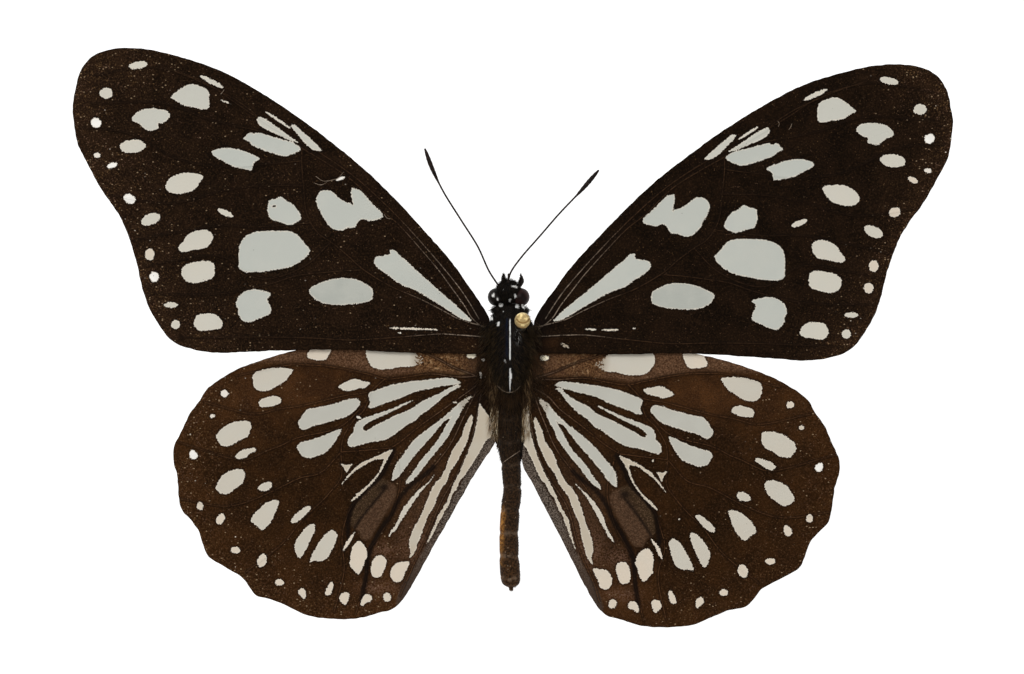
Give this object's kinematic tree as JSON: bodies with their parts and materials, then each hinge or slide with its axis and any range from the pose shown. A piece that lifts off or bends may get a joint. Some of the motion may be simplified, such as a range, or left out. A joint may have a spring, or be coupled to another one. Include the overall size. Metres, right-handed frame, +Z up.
{
  "type": "pinned butterfly specimen",
  "caption": "Spread dried butterfly on an insect pin: dark brown wings with pale blue-grey spots, slim body, clubbed antennae, and a gilt ball pin head above the thorax.",
  "frame": {"origin": "the pin's point", "axes": "+Z up, as the specimen stands on its pin, +Y towards the butterfly's head, +X towards its right wings"},
  "size_m": [0.088, 0.0579, 0.038],
  "materials": {
    "forewing_scales": "matt overlapping wing scales, near-black brown with blue-grey spots",
    "hindwing_scales": "matt overlapping wing scales, brown with cream and blue-grey spots and streaks",
    "body_scales": "short dark hair and scales with small white spots",
    "eye": "dark, dried, slightly glossy",
    "limb": "dark dried chitin",
    "pin_steel": "thin drawn wire",
    "gilt_head": "smooth gilt ball"
  },
  "bodies": {
    "root": {"left_forewing": "forewing_scales", "right_forewing": "forewing_scales", "left_hindwing": "hindwing_scales", "right_hindwing": "hindwing_scales", "thorax": "body_scales", "head": "body_scales", "abdomen": "body_scales", "left_eye": "eye", "right_eye": "eye", "left_antenna": "limb", "right_antenna": "limb", "left_palp": "limb", "right_palp": "limb", "proboscis": "limb", "left_foreleg": "limb", "right_foreleg": "limb", "left_middle_leg": "limb", "right_middle_leg": "limb", "left_hind_leg": "limb", "right_hind_leg": "limb", "pin_shaft": "pin_steel", "pin_head": "gilt_head"}
  },
  "joints": []
}
